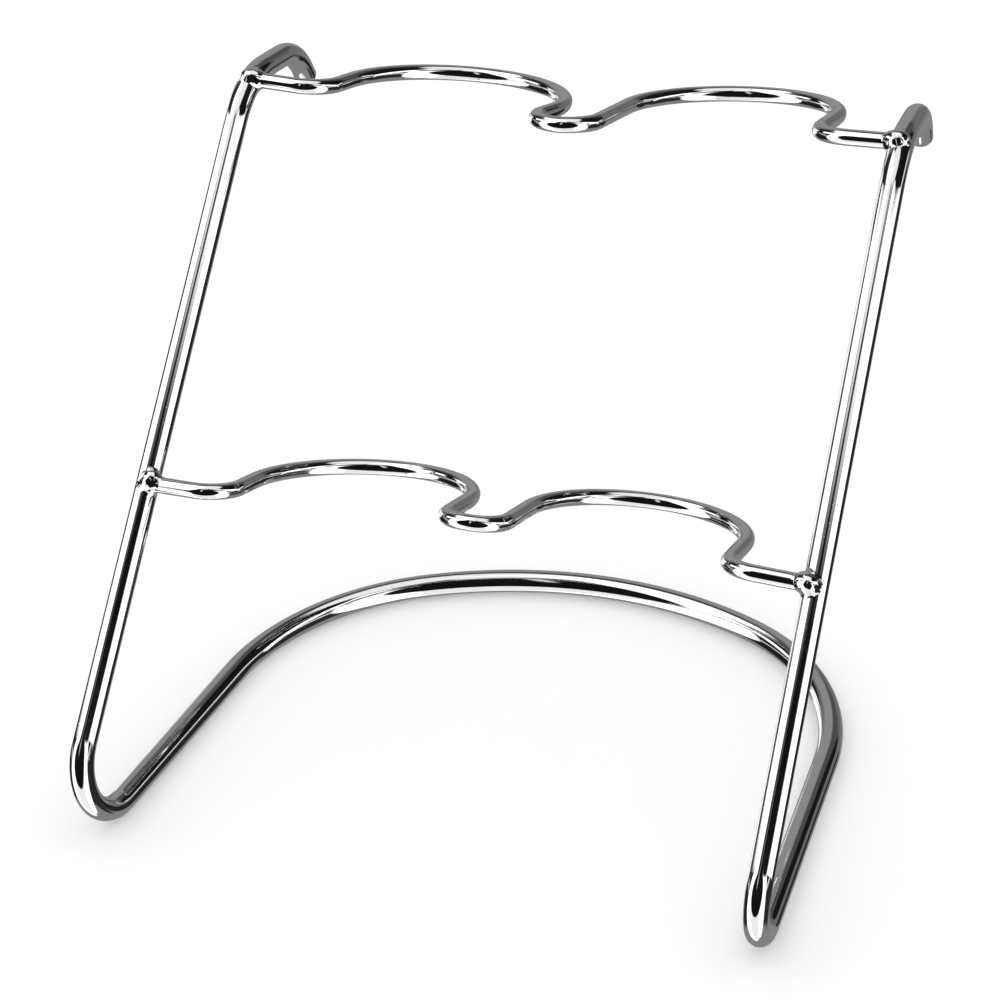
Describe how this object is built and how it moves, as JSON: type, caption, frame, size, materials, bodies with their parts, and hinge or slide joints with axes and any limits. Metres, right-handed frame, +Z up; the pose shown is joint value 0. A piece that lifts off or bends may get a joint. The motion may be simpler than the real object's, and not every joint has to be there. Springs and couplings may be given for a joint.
{
  "type": "test tube holder",
  "caption": "Leaning bent-wire stand in bright chrome: a frame wire with a curved base and turned-down hooks, and scalloped cross wires that cradle test tubes.",
  "frame": {"origin": "on the bench, under the middle of the whole holder", "axes": "+Z up, +Y towards the back, the way the uprights lean, +X to the right as seen from the front"},
  "size_m": [0.1405, 0.15, 0.116],
  "materials": {
    "chrome": "bright chrome plating over steel wire, mirror polished",
    "weld_chrome": "bright chrome plating over an uneven weld bead"
  },
  "bodies": {
    "root": {"frame_wire": "chrome", "upper_cross_wire": "chrome", "lower_cross_wire": "chrome", "weld_upper_left": "weld_chrome", "weld_upper_right": "weld_chrome", "weld_lower_left": "weld_chrome", "weld_lower_right": "weld_chrome"}
  },
  "joints": []
}
